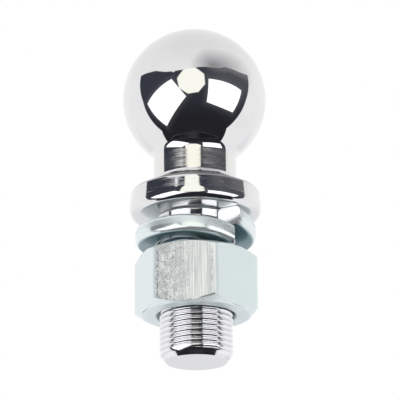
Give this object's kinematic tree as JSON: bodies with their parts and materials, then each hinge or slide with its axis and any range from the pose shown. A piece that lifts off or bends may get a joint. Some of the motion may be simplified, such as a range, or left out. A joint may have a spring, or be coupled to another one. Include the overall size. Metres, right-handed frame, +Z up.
{
  "type": "tow ball",
  "caption": "Trailer tow ball: a chromed ball stud with neck, flange and threaded shank, a split spring lock washer and a hex nut.",
  "frame": {"origin": "centre of the flat end of the shank, which is the middle of the bottom of the bounding box", "axes": "+Z up the shank to the ball; -Y is the side that the picture shows; the nut and the split washer have no side of their own"},
  "size_m": [0.0508, 0.0508, 0.1203],
  "materials": {
    "chrome": "polished chrome plate on forged steel",
    "zinc_washer": "bright bluish zinc plate on spring steel",
    "zinc_nut": "satin bluish zinc plate on steel, with one scuffed flat"
  },
  "bodies": {
    "root": {"ball_stud": "chrome", "lock_washer": "zinc_washer", "hex_nut": "zinc_nut"}
  },
  "joints": []
}
